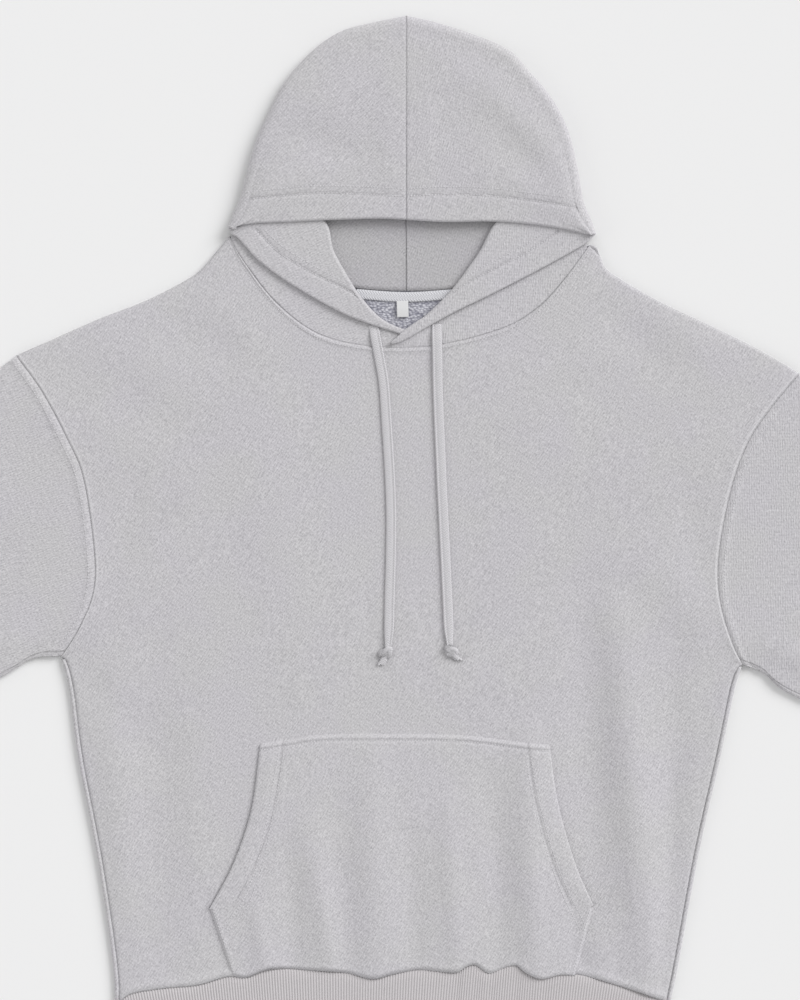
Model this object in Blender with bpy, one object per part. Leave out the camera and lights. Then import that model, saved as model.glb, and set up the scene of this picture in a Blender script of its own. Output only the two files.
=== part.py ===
"""Pullover hoodie of heavy loopback knit, lying flat with its front up.

Metres, +Z up. The garment's hood points along +Y and its sleeves along X.
The origin is under the middle of the garment, on the surface it lies on.
Every piece is a wall of cloth. Tables are in millimetres, as a cutter notes
them, and mm() turns them into metres. Left and right are the viewer's.
"""
import math

import bmesh
import bpy
import numpy as np
from mathutils import Vector

# Driving dimensions, in metres
CLOTH = 0.0015          # body, sleeve, hood and pocket cloth
DOUBLE_CLOTH = 0.0025   # the hood's front edge, outer and lining together
RIB_CLOTH = 0.002       # cuffs and hem
TAPE_CLOTH = 0.0012
LABEL_CLOTH = 0.001
GAP = 0.0003            # between layers, and at seams
SEAM_SHIFT = 0.0006     # sideways, which leaves GAP on the slanted seams
FOLD_RADIUS = 0.0027    # outer radius of a folded side or sleeve edge
LOFT = 0.0012           # how much higher the middle of the front lies
LOFT_REACH = 0.015
BACK_STRIP = 0.004      # the back shows this far outside the side seams
HOOD_HEIGHT = 0.0135    # top of the hood's upper leaf at its mouth
CUFF_DEPTH = 0.062
CORD_RADIUS = 0.003
POCKET_RISE = 0.0032    # how far the middle of the pocket stands off the front
POCKET_SIDE_RISE = 0.45 # of that, what is left at the mouths

# Outlines, x and y in millimetres
SHOULDER_LEFT = [(-370, 175), (-343, 187), (-291, 210), (-245, 228), (-200, 252),
                 (-182, 265), (-169, 286)]
SHOULDER_RIGHT = [(174, 280), (185, 261), (237, 228), (279, 208), (330, 183), (373, 158)]
NECK_FRONT = [(-169, 286), (-155, 266), (-124, 226), (-84, 196), (-34, 184), (26, 184.5),
              (89, 200), (123, 219), (148, 245), (174, 280)]
NECK_BACK = [(-169, 286), (-136, 266), (-94, 249), (-50, 240), (0, 237), (52, 240),
             (96, 249), (140, 264), (174, 280)]
ARMHOLE_LEFT = [(-327, -110), (-311, -85), (-297, -50), (-296, -10), (-306, 58),
                (-321, 95), (-345, 140), (-370, 175)]
ARMHOLE_RIGHT = [(319, -118), (309, -97), (298, -60), (296, -19), (306, 40), (321, 86),
                 (341, 119), (373, 158)]
SIDE_LEFT = [(-272, -438), (-275, -396), (-289, -302), (-307, -208), (-316, -141), (-323, -113)]
SIDE_RIGHT = [(247, -438), (254, -405), (274, -297), (294, -208), (308, -141), (315, -120)]
HEM = [(-272, -438), (-228, -425), (-169, -414), (-96, -408), (0, -410), (60, -405),
       (129, -413), (200, -423), (247, -438)]
RIB_END = [(-258, -489), (-165, -494), (0, -497), (130, -494), (233, -489)]
SLEEVE_TOP_LEFT = [(-370, 175), (-470, 97), (-600, -28), (-728.5, -166)]
SLEEVE_TOP_RIGHT = [(373, 158), (470, 82), (600, -35), (728.5, -166)]
SLEEVE_UNDER_LEFT = [(-327, -110), (-355, -113), (-386, -131), (-500, -190), (-661.5, -266)]
SLEEVE_UNDER_RIGHT = [(319, -118), (340, -127), (372, -150), (500, -203), (661.5, -266)]
SLEEVE_SLOPE = math.radians(34)
CUFF_HALF_WIDTHS = (0.056, 0.050)

# One row for each section of a hood half, from the centre seam to the corner of the
# mouth: the folded rim, the mouth's edge on the upper leaf, the back-neck seam
# (rim_x, rim_y, edge_x, edge_y, neck_x)
HOOD_LEFT = [
    (-0.4, 497, -0.4, 303, -0.4),
    (-61, 484, -34, 304, -34),
    (-112, 438, -68, 303, -70),
    (-142, 378, -110, 301, -116),
    (-155, 335, -135, 300, -142),
    (-169, 297, -152, 299, -159),
]
HOOD_RIGHT = [
    (0.4, 497, 0.4, 303, 0.4),
    (59, 483, 34, 301.5, 34),
    (119, 442, 72, 301.5, 74),
    (153, 390, 112, 299.5, 118),
    (166, 337, 142, 295, 147),
    (180, 289, 162, 291, 165),
]
# One row for each section of the rolled front edge, from the centre front to the
# corner: the neck seam, the roll, the free edge
# (roll_x, roll_y, edge_x, edge_y, seam_x)
TURN_LEFT = [
    (-23, 204, -19, 196, -18),
    (-31, 216, -33, 203, -34),
    (-45, 234, -51, 211, -60),
    (-58, 255, -71, 220, -84),
    (-69, 276, -93, 233, -106),
    (-75, 300, -118, 248, -124),
    (-95, 316, -140, 265, -142),
    (-142, 303, -158, 287, -158),
]
TURN_RIGHT = [
    (-2, 200, -11, 190, -12),
    (21, 215, 18, 202, 14),
    (42, 236, 45, 215, 40),
    (58, 257, 69, 227, 66),
    (71, 276, 95, 240, 91),
    (84, 300, 122, 255, 115),
    (104, 313, 146, 267, 138),
    (148, 299, 168, 282, 160),
]
POCKET_TOP = [(-138, -192), (-77, -183.5), (0, -183), (81, -187), (136, -193.5)]
POCKET_BOTTOM = [(-166, -411), (-96, -406), (0, -408), (60, -403), (161, -414)]
POCKET_LEFT = [(-166, -411), (-186, -349), (-163, -305), (-146, -253), (-138, -192)]
POCKET_RIGHT = [(161, -414), (178, -347), (160, -305), (144, -248), (136, -193.5)]
TAPE_TOP = [(-47, 238.4), (0, 235.4), (47, 238.4)]
TAPE_BOTTOM = [(-48, 229), (0, 226), (48, 229)]
LABEL_CORNERS = ((-9, 211), (3, 225.5))
# The drawcords' routes: x, y, and the height of the middle above the cloth
CORD_LEFT = [(-29, 197, 0.6), (-26, 180, 0.2), (-21, 150, 0), (-19, 120, 0), (-16, 70, 0),
             (-14, 30, 0), (-15, -30, 0), (-16, -75, 0), (-16, -99, 0)]
CORD_RIGHT = [(29, 198, 0.6), (30, 180, 0.2), (30, 150, 0), (31, 120, 0), (33, 70, 0),
              (35, 30, 0), (38, -30, 0), (40, -70, 0), (41, -97, 0)]
KNOT_LEFT = (-18.5, -107)
KNOT_RIGHT = (43.5, -105)
KNOT_SIZE = (0.014, 0.015, 0.0085)

KNIT_COLOUR = (0.52, 0.51, 0.53)
RIB_COLOUR = (0.50, 0.47, 0.48)
LOOP_COLOUR = (0.40, 0.40, 0.44)
TRIM_COLOUR = (0.78, 0.78, 0.80)

UNDERARM_SHARE = 0.55   # of a body panel's side, hem to shoulder, below the underarm
SHOULDER_SHARE = 0.27   # of a body panel's top, on each side of the neck
UP_BREAKS = (0, UNDERARM_SHARE, 1)
ACROSS_BREAKS = (0, SHOULDER_SHARE, 1 - SHOULDER_SHARE, 1)
MOUTH_SHARE = 0.28      # of a pocket's side, from the hem up to the mouth's lower end
POCKET_BREAKS = (0, MOUTH_SHARE, 1)

# Faces along each run; a sleeve and a body panel share their armhole's
ARMHOLE_STEPS = 8
SIDE_STEPS = 8
BODY_STEPS = (4, 8, 4)
SLEEVE_STEPS = 9
CUFF_STEPS = 8
CUFF_ROWS = (0, 0.12, 0.55, 1)
HEM_ROWS = (0, 0.1, 0.5, 1)
POCKET_ACROSS_STEPS = 10
POCKET_UP_STEPS = (3, 6)
HOOD_SECTIONS = 9
TURN_SECTIONS = 8
LEAF_STEPS = 5
RIM_POINTS = 5
TAPE_POINTS = 9
CORD_POINTS = 22
KNOT_SEGMENTS = (10, 6)
SHORE_POINTS = (60, 80) # along a shoulder and sleeve, and along a side and sleeve


def mm(points):
    return np.array(points, float) * 0.001


def spline(points, shares):
    """Points at the given shares of the length of a smooth curve through points."""
    knots = np.asarray(points, float)
    ends = np.vstack([2 * knots[0] - knots[1], knots, 2 * knots[-1] - knots[-2]])
    steps = np.linspace(0, 1, 24, endpoint=False)
    trail = []
    for i in range(len(knots) - 1):
        before, start, stop, after = ends[i:i + 4]
        for t in steps:
            trail.append(0.5 * (2 * start + (stop - before) * t
                                + (2 * before - 5 * start + 4 * stop - after) * t ** 2
                                + (3 * start - before - 3 * stop + after) * t ** 3))
    trail.append(knots[-1])
    trail = np.array(trail)
    lengths = np.concatenate([[0], np.cumsum(np.linalg.norm(np.diff(trail, axis=0), axis=1))])
    wanted = np.asarray(shares) * lengths[-1]
    columns = [np.interp(wanted, lengths, trail[:, k]) for k in range(trail.shape[1])]
    return np.stack(columns, axis=1)


def eased(breaks, counts):
    """Shares from 0 to 1 that crowd towards each break, where the cloth turns."""
    shares = [breaks[0]]
    for start, stop, count in zip(breaks, breaks[1:], counts):
        for i in range(1, count + 1):
            ease = 0.5 - 0.5 * math.cos(math.pi * i / count)
            shares.append(start + (stop - start) * ease)
    return np.array(shares)


def joined(curves, breaks, shares):
    """Points on curves that follow one another, each over its share of the whole."""
    rows = []
    for share in shares:
        part = min(sum(share > stop + 1e-9 for stop in breaks[1:]), len(curves) - 1)
        local = (share - breaks[part]) / (breaks[part + 1] - breaks[part])
        rows.append(spline(curves[part], [local])[0])
    return np.array(rows)


def patch(bottom, top, left, right, across, up):
    """Fill four meeting edges, given as points at the shares across and up."""
    u = np.asarray(across)[None, :, None]
    v = np.asarray(up)[:, None, None]
    blend_v = (1 - v) * bottom[None] + v * top[None]
    blend_u = (1 - u) * left[:, None] + u * right[:, None]
    corners = ((1 - u) * (1 - v) * bottom[0] + u * (1 - v) * bottom[-1]
               + (1 - u) * v * top[0] + u * v * top[-1])
    return blend_v + blend_u - corners


SHORE = [spline(mm(SHOULDER_LEFT[::-1] + SLEEVE_TOP_LEFT[1:]), np.linspace(0, 1, SHORE_POINTS[0])),
         spline(mm(SHOULDER_RIGHT + SLEEVE_TOP_RIGHT[1:]), np.linspace(0, 1, SHORE_POINTS[0])),
         spline(mm(SIDE_LEFT[:-1] + SLEEVE_UNDER_LEFT), np.linspace(0, 1, SHORE_POINTS[1])),
         spline(mm(SIDE_RIGHT[:-1] + SLEEVE_UNDER_RIGHT), np.linspace(0, 1, SHORE_POINTS[1]))]


def edge_distance(x, y):
    """Distance to the nearest folded edge of the garment."""
    nearest = np.full(np.shape(x), 1.0)
    for line in SHORE:
        for start, stop in zip(line, line[1:]):
            run = stop - start
            along = ((x - start[0]) * run[0] + (y - start[1]) * run[1]) / (run @ run)
            along = np.clip(along, 0, 1)
            gap = np.hypot(x - start[0] - along * run[0], y - start[1] - along * run[1])
            nearest = np.minimum(nearest, gap)
    return nearest


def upper_height(x, y):
    """Top of the upper layer: round at the folded edges, then nearly level."""
    gap = edge_distance(x, y)
    turn = FOLD_RADIUS - np.minimum(gap, FOLD_RADIUS)
    rise = LOFT * (1 - np.exp(-gap / LOFT_REACH))
    return FOLD_RADIUS + np.sqrt(FOLD_RADIUS ** 2 - turn ** 2) + rise


def front_height(x, y):
    """Top of the front, which stays clear of the back at the side seams."""
    return np.maximum(upper_height(x, y), 2 * CLOTH + 1.2 * GAP)


def back_height(x, y):
    """Top of the back, which lies level."""
    return np.full(np.shape(x), CLOTH)


def lower_height(x, y):
    """Underside of the lower layer of a folded piece."""
    turn = FOLD_RADIUS - np.minimum(edge_distance(x, y), FOLD_RADIUS)
    return FOLD_RADIUS - np.sqrt(FOLD_RADIUS ** 2 - turn ** 2)


def with_height(plan, height):
    return np.dstack([plan[..., 0], plan[..., 1], height])


def material(name, colour):
    surface = bpy.data.materials.get(name)
    if surface is None:
        surface = bpy.data.materials.new(name)
        surface.use_nodes = True
        shader = surface.node_tree.nodes["Principled BSDF"]
        shader.inputs["Base Color"].default_value = (*colour, 1)
        shader.inputs["Roughness"].default_value = 0.95
        shader.inputs["Metallic"].default_value = 0
    return surface


def cloth(name, points, thickness, surface, even=True):
    """A wall of cloth whose outer face passes through a grid of points."""
    rows, columns = points.shape[:2]
    bm = bmesh.new()
    bmesh.ops.create_grid(bm, x_segments=columns - 1, y_segments=rows - 1, size=1)
    bm.verts.ensure_lookup_table()
    for vertex, place in zip(bm.verts, points.reshape(-1, 3)):
        vertex.co = Vector(place)
    bmesh.ops.remove_doubles(bm, verts=bm.verts, dist=0.00002)
    bm.normal_update()
    bm.faces.ensure_lookup_table()
    if bm.faces[0].normal.z < 0:
        bmesh.ops.reverse_faces(bm, faces=bm.faces)
    mesh = bpy.data.meshes.new(name)
    bm.to_mesh(mesh)
    bm.free()
    piece = bpy.data.objects.new(name, mesh)
    bpy.context.collection.objects.link(piece)
    mesh.materials.append(surface)
    wall = piece.modifiers.new("wall", "SOLIDIFY")
    wall.thickness = thickness
    wall.offset = -1
    wall.use_even_offset = even
    return piece


def top_edge(neck):
    """The shoulders and neck of a body panel, as the points that its mesh has."""
    across = eased(ACROSS_BREAKS, BODY_STEPS)
    return joined([mm(SHOULDER_LEFT), mm(neck), mm(SHOULDER_RIGHT)], ACROSS_BREAKS, across)


def body_panel(name, sides, neck, height, surface):
    """Front or back: hem, side seams, armholes, shoulders and neck."""
    up = eased(UP_BREAKS, (SIDE_STEPS, ARMHOLE_STEPS))
    across = eased(ACROSS_BREAKS, BODY_STEPS)
    left = joined([mm(sides[0]), mm(ARMHOLE_LEFT)], UP_BREAKS, up)
    right = joined([mm(sides[1]), mm(ARMHOLE_RIGHT)], UP_BREAKS, up)
    top = top_edge(neck)
    bottom = spline(mm(HEM), across)
    bottom[0], bottom[-1] = left[0], right[0]
    left[-1], right[-1] = top[0], top[-1]
    plan = patch(bottom, top, left, right, across, up)
    tops = height(plan[..., 0], plan[..., 1])
    return cloth(name, with_height(plan, tops), CLOTH, surface)


def outward(sides, shift):
    return [[(x - shift, y) for x, y in sides[0]], [(x + shift, y) for x, y in sides[1]]]


def folded_tube(name, plan, thickness, surface):
    """A flattened tube: the same plan above and below, joined at both folds."""
    above = with_height(plan, upper_height(plan[..., 0], plan[..., 1]))
    below = with_height(plan, lower_height(plan[..., 0], plan[..., 1]))
    for leaf in (above, below):
        leaf[:, (0, -1), 2] = FOLD_RADIUS
    ring = np.concatenate([above, below[:, -2::-1]], axis=1)
    return cloth(name, ring, thickness, surface)


def lens_tube(name, plan, thickness, surface):
    """A flattened tube with folds of its own at the first and last column."""
    left, right = plan[:, :1], plan[:, -1:]
    gap = np.minimum(np.linalg.norm(plan - left, axis=2), np.linalg.norm(plan - right, axis=2))
    turn = FOLD_RADIUS - np.minimum(gap, FOLD_RADIUS)
    bulge = np.sqrt(FOLD_RADIUS ** 2 - turn ** 2)
    rise = LOFT * (1 - np.exp(-gap / LOFT_REACH))
    above = with_height(plan, FOLD_RADIUS + bulge + rise)
    below = with_height(plan, FOLD_RADIUS - bulge)
    ring = np.concatenate([above, below[:, -2::-1]], axis=1)
    return cloth(name, ring, thickness, surface)


def sleeve(side, armhole, top_line, under_line, sign, surface):
    around = eased((0, 1), (ARMHOLE_STEPS,))
    along = eased((0, 1), (SLEEVE_STEPS,))
    start = spline(mm(armhole), around) + (sign * SEAM_SHIFT, 0)
    under = spline(mm(under_line), along)
    top = spline(mm(top_line), along)
    under[0], top[0] = start[0], start[-1]
    end = under[-1] + (top[-1] - under[-1]) * around[:, None]
    plan = patch(start, end, under, top, around, along)
    folded_tube("sleeve_" + side, plan, CLOTH, surface)


def cuff(side, top_line, under_line, sign, surface):
    middle = 0.5 * (mm(top_line[-1]) + mm(under_line[-1]))
    run = np.array([sign * math.cos(SLEEVE_SLOPE), -math.sin(SLEEVE_SLOPE)])
    across = np.array([sign * math.sin(SLEEVE_SLOPE), math.cos(SLEEVE_SLOPE)])
    wide, narrow = CUFF_HALF_WIDTHS
    rows = []
    for share in CUFF_ROWS:
        half = wide + (narrow - wide) * share
        centre = middle + run * (SEAM_SHIFT + CUFF_DEPTH * share)
        rows.append([centre + across * half * (2 * k - 1) for k in eased((0, 1), (CUFF_STEPS,))])
    lens_tube("cuff_" + side, np.array(rows), RIB_CLOTH, surface)


def hem_rib(surface):
    across = eased(ACROSS_BREAKS, BODY_STEPS)
    top = spline(mm(HEM), across) + (0, -SEAM_SHIFT)
    bottom = spline(mm(RIB_END), across)
    rows = [top + (bottom - top) * share for share in HEM_ROWS]
    lens_tube("hem_rib", np.array(rows), RIB_CLOTH, surface)


def unit(run):
    return run / np.linalg.norm(run)


def sections(table, neck, count):
    """Sections at eased shares of a table: three plan points and the rim's normal.

    The third point lies on the neck seam of the body panel below it.
    """
    rows = spline(mm(table), eased((0, 1), (count,)))
    line = top_edge(neck)
    sewn_y = np.interp(rows[:, 4], line[:, 0], line[:, 1]) + SEAM_SHIFT
    runs = np.gradient(rows[:, :2], axis=0)
    found = []
    for row, y, run in zip(rows, sewn_y, runs):
        rim, free, sewn = row[:2], row[2:4], np.array([row[4], y])
        out = unit(np.array([run[1], -run[0]]))
        if out @ (rim - 0.5 * (free + sewn)) < 0:
            out = -out
        if abs(rim[0]) < SEAM_SHIFT:
            out = np.array([0.0, 1.0])   # the centre seam runs straight over the rim
        found.append((free, rim, sewn, out))
    return found


def rolled_section(section, radius, inset, tops, bottoms):
    """Free edge, along the upper leaf, round the rim, back along the lower leaf."""
    free, rim, sewn, out = section
    centre = rim - out * radius
    middle = 0.5 * (tops[1] + bottoms[0])
    half = 0.5 * (tops[1] - bottoms[0])
    rows = []
    for share in eased((0, 1), (LEAF_STEPS,))[:-1]:
        place = free + (centre - free) * share
        rows.append((*place, tops[0] + (tops[1] - tops[0]) * share))
    for turn in np.linspace(0.5 * math.pi, -0.5 * math.pi, RIM_POINTS):
        place = centre + out * (radius - inset) * math.cos(turn)
        rows.append((*place, middle + half * math.sin(turn)))
    for share in eased((0, 1), (LEAF_STEPS,))[1:]:
        place = centre + (sewn - centre) * share
        rows.append((*place, bottoms[0] + (bottoms[1] - bottoms[0]) * share))
    return rows


def hood_layer(name, table, inset, surface):
    """Outer or lining of a hood half: a leaf on the table folded over to the top."""
    top, bottom = HOOD_HEIGHT - inset, inset
    radius = 0.5 * HOOD_HEIGHT
    rows = [rolled_section(section, radius, inset, (top, top), (bottom, bottom))
            for section in sections(table, NECK_BACK, HOOD_SECTIONS)]
    cloth(name, np.array(rows), CLOTH, surface)


def hood_turn(name, table, surface):
    """The hood's front edge: up from the neck seam, rolled over and laid back."""
    lowest = 2 * CLOTH + 2 * GAP
    seam_height = 2 * FOLD_RADIUS + LOFT - DOUBLE_CLOTH
    roll_top = lowest + 2 * DOUBLE_CLOTH + 3 * GAP
    radius = 0.5 * (roll_top - lowest)
    edge_top = seam_height + 2 * DOUBLE_CLOTH + 2 * GAP
    rows = [rolled_section(section, radius, 0, (edge_top, roll_top), (lowest, seam_height))
            for section in sections(table, NECK_FRONT, TURN_SECTIONS)]
    cloth(name, np.array(rows), DOUBLE_CLOTH, surface, even=False)


def pocket(surface):
    """Sewn at the top, the hem and the lower sides, with a slanted mouth each side."""
    across = eased((0, 1), (POCKET_ACROSS_STEPS,))
    up = eased(POCKET_BREAKS, POCKET_UP_STEPS)
    left = joined([mm(POCKET_LEFT[:2]), mm(POCKET_LEFT[1:])], POCKET_BREAKS, up)
    right = joined([mm(POCKET_RIGHT[:2]), mm(POCKET_RIGHT[1:])], POCKET_BREAKS, up)
    bottom = spline(mm(POCKET_BOTTOM), across)
    top = spline(mm(POCKET_TOP), across)
    plan = patch(bottom, top, left, right, across, up)
    lift_up = np.sin(np.pi * np.clip(up, 0, 1)) ** 0.7
    lift_across = POCKET_SIDE_RISE + (1 - POCKET_SIDE_RISE) * np.sin(np.pi * across)
    rise = POCKET_RISE * lift_up[:, None] * lift_across[None]
    under = upper_height(plan[..., 0], plan[..., 1]) + GAP
    return cloth("pocket", with_height(plan, under + rise + CLOTH), CLOTH, surface)


def neck_trim(surface):
    across = np.linspace(0, 1, TAPE_POINTS)
    rows = [spline(mm(TAPE_BOTTOM), across), spline(mm(TAPE_TOP), across)]
    plan = np.array(rows)
    level = np.full(plan.shape[:2], CLOTH + GAP + TAPE_CLOTH)
    cloth("neck_tape", with_height(plan, level), TAPE_CLOTH, surface)
    (x0, y0), (x1, y1) = mm(LABEL_CORNERS)
    plan = np.array([[(x0, y0), (x1, y0)], [(x0, y1), (x1, y1)]])
    level = np.full(plan.shape[:2], CLOTH + GAP + LABEL_CLOTH)
    cloth("neck_label", with_height(plan, level), LABEL_CLOTH, surface)


def drawcord(side, route, knot, surface):
    """A round cord lying on the front, and the knot at its free end."""
    points = mm(route)
    level = upper_height(points[:, 0], points[:, 1]) + GAP + CORD_RADIUS
    points[:, 2] += level
    line = spline(points, np.linspace(0, 1, CORD_POINTS))
    curve = bpy.data.curves.new("drawcord_" + side, "CURVE")
    curve.dimensions = "3D"
    track = curve.splines.new("POLY")
    track.points.add(len(line) - 1)
    for point, place in zip(track.points, line):
        point.co = (*place, 1)
    curve.bevel_depth = CORD_RADIUS
    curve.bevel_resolution = 2
    curve.use_fill_caps = True
    curve.materials.append(surface)
    bpy.context.collection.objects.link(bpy.data.objects.new("drawcord_" + side, curve))

    bm = bmesh.new()
    around, up = KNOT_SEGMENTS
    bmesh.ops.create_uvsphere(bm, u_segments=around, v_segments=up, radius=0.5)
    bmesh.ops.scale(bm, verts=bm.verts, vec=KNOT_SIZE)
    place = mm(knot)
    height = upper_height(place[0], place[1]) + GAP + 0.5 * KNOT_SIZE[2]
    bmesh.ops.translate(bm, verts=bm.verts, vec=(place[0], place[1], height))
    mesh = bpy.data.meshes.new("cord_knot_" + side)
    bm.to_mesh(mesh)
    bm.free()
    mesh.materials.append(surface)
    bpy.context.collection.objects.link(bpy.data.objects.new("cord_knot_" + side, mesh))


def main():
    for old in list(bpy.data.objects):
        bpy.data.objects.remove(old, do_unlink=True)
    knit = material("loopback_knit", KNIT_COLOUR)
    loops = material("knit_loop_side", LOOP_COLOUR)
    rib = material("rib_knit", RIB_COLOUR)
    trim = material("neck_trim", TRIM_COLOUR)
    sides = (SIDE_LEFT, SIDE_RIGHT)
    body_panel("body_back", outward(sides, 1000 * BACK_STRIP), NECK_BACK, back_height, loops)
    body_panel("body_front", sides, NECK_FRONT, front_height, knit)
    sleeve("left", ARMHOLE_LEFT, SLEEVE_TOP_LEFT, SLEEVE_UNDER_LEFT, -1, knit)
    sleeve("right", ARMHOLE_RIGHT, SLEEVE_TOP_RIGHT, SLEEVE_UNDER_RIGHT, 1, knit)
    cuff("left", SLEEVE_TOP_LEFT, SLEEVE_UNDER_LEFT, -1, rib)
    cuff("right", SLEEVE_TOP_RIGHT, SLEEVE_UNDER_RIGHT, 1, rib)
    hem_rib(rib)
    pocket(knit)
    for side, hood, turn in (("left", HOOD_LEFT, TURN_LEFT), ("right", HOOD_RIGHT, TURN_RIGHT)):
        hood_layer("hood_" + side, hood, 0.0, knit)
        hood_layer("hood_lining_" + side, hood, CLOTH + GAP, knit)
        hood_turn("hood_turn_" + side, turn, knit)
    neck_trim(trim)
    drawcord("left", CORD_LEFT, KNOT_LEFT, knit)
    drawcord("right", CORD_RIGHT, KNOT_RIGHT, knit)


main()
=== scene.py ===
import math

import bmesh
import bpy
import numpy as np
from mathutils import Matrix, Vector
from mathutils.bvhtree import BVHTree


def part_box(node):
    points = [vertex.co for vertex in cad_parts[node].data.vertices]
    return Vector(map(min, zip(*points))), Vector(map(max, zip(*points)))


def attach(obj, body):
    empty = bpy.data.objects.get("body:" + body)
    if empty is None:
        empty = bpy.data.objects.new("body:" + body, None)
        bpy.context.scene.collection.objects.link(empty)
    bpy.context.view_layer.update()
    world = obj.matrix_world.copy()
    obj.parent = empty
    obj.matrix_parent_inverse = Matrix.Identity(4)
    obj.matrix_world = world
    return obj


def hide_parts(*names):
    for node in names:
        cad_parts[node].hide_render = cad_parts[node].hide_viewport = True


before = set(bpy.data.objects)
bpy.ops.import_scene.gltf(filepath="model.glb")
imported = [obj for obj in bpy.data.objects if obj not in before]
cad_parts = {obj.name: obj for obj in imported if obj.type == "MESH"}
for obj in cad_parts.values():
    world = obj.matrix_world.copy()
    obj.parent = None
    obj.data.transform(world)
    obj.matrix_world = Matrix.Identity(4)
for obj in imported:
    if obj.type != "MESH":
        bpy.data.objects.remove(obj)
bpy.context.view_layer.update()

print("hoodie: frame loaded")

# Where the part's own pieces lie, read from the frame
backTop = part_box("body_back")[1][2]
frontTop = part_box("body_front")[1][2]
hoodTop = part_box("hood_left")[1][2]

clothSizes = {
    "knit": 0.0015,
    "double": 0.0025,
    "rib": 0.0020,
    "pocket": 0.0016,
    "turn": 0.0012,
    "tape": 0.0012,
    "label": 0.0008,
    "foldRadius": 0.0027,
    "loft": frontTop - 0.0054,     # rise of the upper layer above its folded edges
    "loftReach": 0.015,
    "creaseReach": 0.012,
    "layerGap": 0.0003,
    "lyingGap": 0.0004,
}
farAway = 9.0                      # further than any edge, in metres

# The cut, x and y in millimetres, hood towards +y
cut = {
    "shoulderLeft": [(-370, 175), (-343, 187), (-291, 210), (-245, 228), (-200, 252),
                     (-182, 271), (-167.5, 288.5)],
    "shoulderRight": [(174, 280), (180, 277), (185, 268), (192, 255), (237, 228), (279, 208),
                      (330, 183), (373, 158)],
    "neckFront": [(-167.5, 288.5), (-155, 266), (-124, 226), (-84, 196), (-34, 184), (26, 184.5),
                  (89, 200), (123, 219), (148, 245), (174, 280)],
    "neckBack": [(-167.5, 288.5), (-136, 266), (-94, 249), (-50, 240), (0, 237), (52, 240),
                 (96, 249), (140, 264), (174, 280)],
    "armholeLeft": [(-327, -110), (-311, -85), (-297, -50), (-296, -10), (-306, 58),
                    (-321, 95), (-345, 140), (-370, 175)],
    "armholeRight": [(319, -118), (309, -97), (298, -60), (296, -19), (306, 40), (321, 86),
                     (341, 119), (373, 158)],
    "sideLeft": [(-272, -438), (-275, -396), (-289, -302), (-307, -208), (-316, -141), (-323, -113)],
    "sideRight": [(247, -438), (254, -405), (274, -297), (294, -208), (308, -141), (315, -120)],
    "hem": [(-272, -438), (-259, -430), (-228, -425), (-197, -422), (-169, -414), (-151, -415),
            (-129, -407), (-96, -408), (-60, -410), (-32, -416), (-14, -412), (13, -408),
            (46, -410), (56, -405), (66, -403), (78, -411), (90, -407), (104, -403),
            (114, -410), (129, -415), (149, -411), (176, -415), (203, -423), (222, -429),
            (247, -438)],
    "ribEnd": [(-258, -489), (-165, -494), (0, -497), (130, -494), (233, -489)],
    "sleeveTopLeft": [(-370, 175), (-470, 97), (-600, -28), (-728.5, -166)],
    "sleeveTopRight": [(373, 158), (470, 82), (600, -35), (728.5, -166)],
    "sleeveUnderLeft": [(-327, -110), (-355, -113), (-386, -131), (-500, -190), (-661.5, -266)],
    "sleeveUnderRight": [(319, -118), (340, -127), (372, -150), (500, -203), (661.5, -266)],
}


def mm(points):
    return np.array(points, float) * 0.001


def smoothCurve(points, shares):
    # Points at shares of the length of a smooth curve through the given ones
    knots = np.asarray(points, float)
    ends = np.vstack([2 * knots[0] - knots[1], knots, 2 * knots[-1] - knots[-2]])
    t = np.linspace(0, 1, 24, endpoint=False)[:, None]
    trail = []
    for i in range(len(knots) - 1):
        a, b, c, d = ends[i:i + 4]
        trail.append(0.5 * (2 * b + (c - a) * t + (2 * a - 5 * b + 4 * c - d) * t ** 2
                            + (3 * b - a - 3 * c + d) * t ** 3))
    trail = np.vstack(trail + [knots[-1:]])
    lengths = np.concatenate([[0], np.cumsum(np.linalg.norm(np.diff(trail, axis=0), axis=1))])
    wanted = np.asarray(shares) * lengths[-1]
    return np.stack([np.interp(wanted, lengths, trail[:, k]) for k in range(trail.shape[1])], axis=1)


def easedShares(breaks, counts, ease=0.85):
    # Shares that crowd towards each break, where the cloth turns
    shares = [breaks[0]]
    for start, stop, count in zip(breaks, breaks[1:], counts):
        for i in range(1, count + 1):
            t = i / count
            shares.append(start + (stop - start) * ((1 - ease) * t
                          + ease * (0.5 - 0.5 * math.cos(math.pi * t))))
    return np.array(shares)


def joinedCurves(curves, breaks, shares):
    found = np.zeros((len(shares), 2))
    for part, (start, stop) in enumerate(zip(breaks, breaks[1:])):
        inside = (shares >= start - 1e-9) & (shares <= stop + 1e-9)
        found[inside] = smoothCurve(curves[part], (shares[inside] - start) / (stop - start))
    return found


def patch(bottom, top, left, right, across, up):
    # Fills four edges that meet at their ends
    u, v = across[None, :, None], up[:, None, None]
    corners = ((1 - u) * (1 - v) * bottom[0] + u * (1 - v) * bottom[-1]
               + (1 - u) * v * top[0] + u * v * top[-1])
    return ((1 - v) * bottom[None] + v * top[None]
            + (1 - u) * left[:, None] + u * right[:, None] - corners)


def distanceTo(line, x, y):
    # Distance from each place to a line of points
    nearest = np.full(np.shape(x), farAway)
    for start, stop in zip(line, line[1:]):
        run = stop - start
        along = np.clip(((x - start[0]) * run[0] + (y - start[1]) * run[1]) / (run @ run), 0, 1)
        nearest = np.minimum(nearest, np.hypot(x - start[0] - along * run[0],
                                               y - start[1] - along * run[1]))
    return nearest


def bell(gap, width):
    return np.exp(-(gap / width) ** 2)


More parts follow.
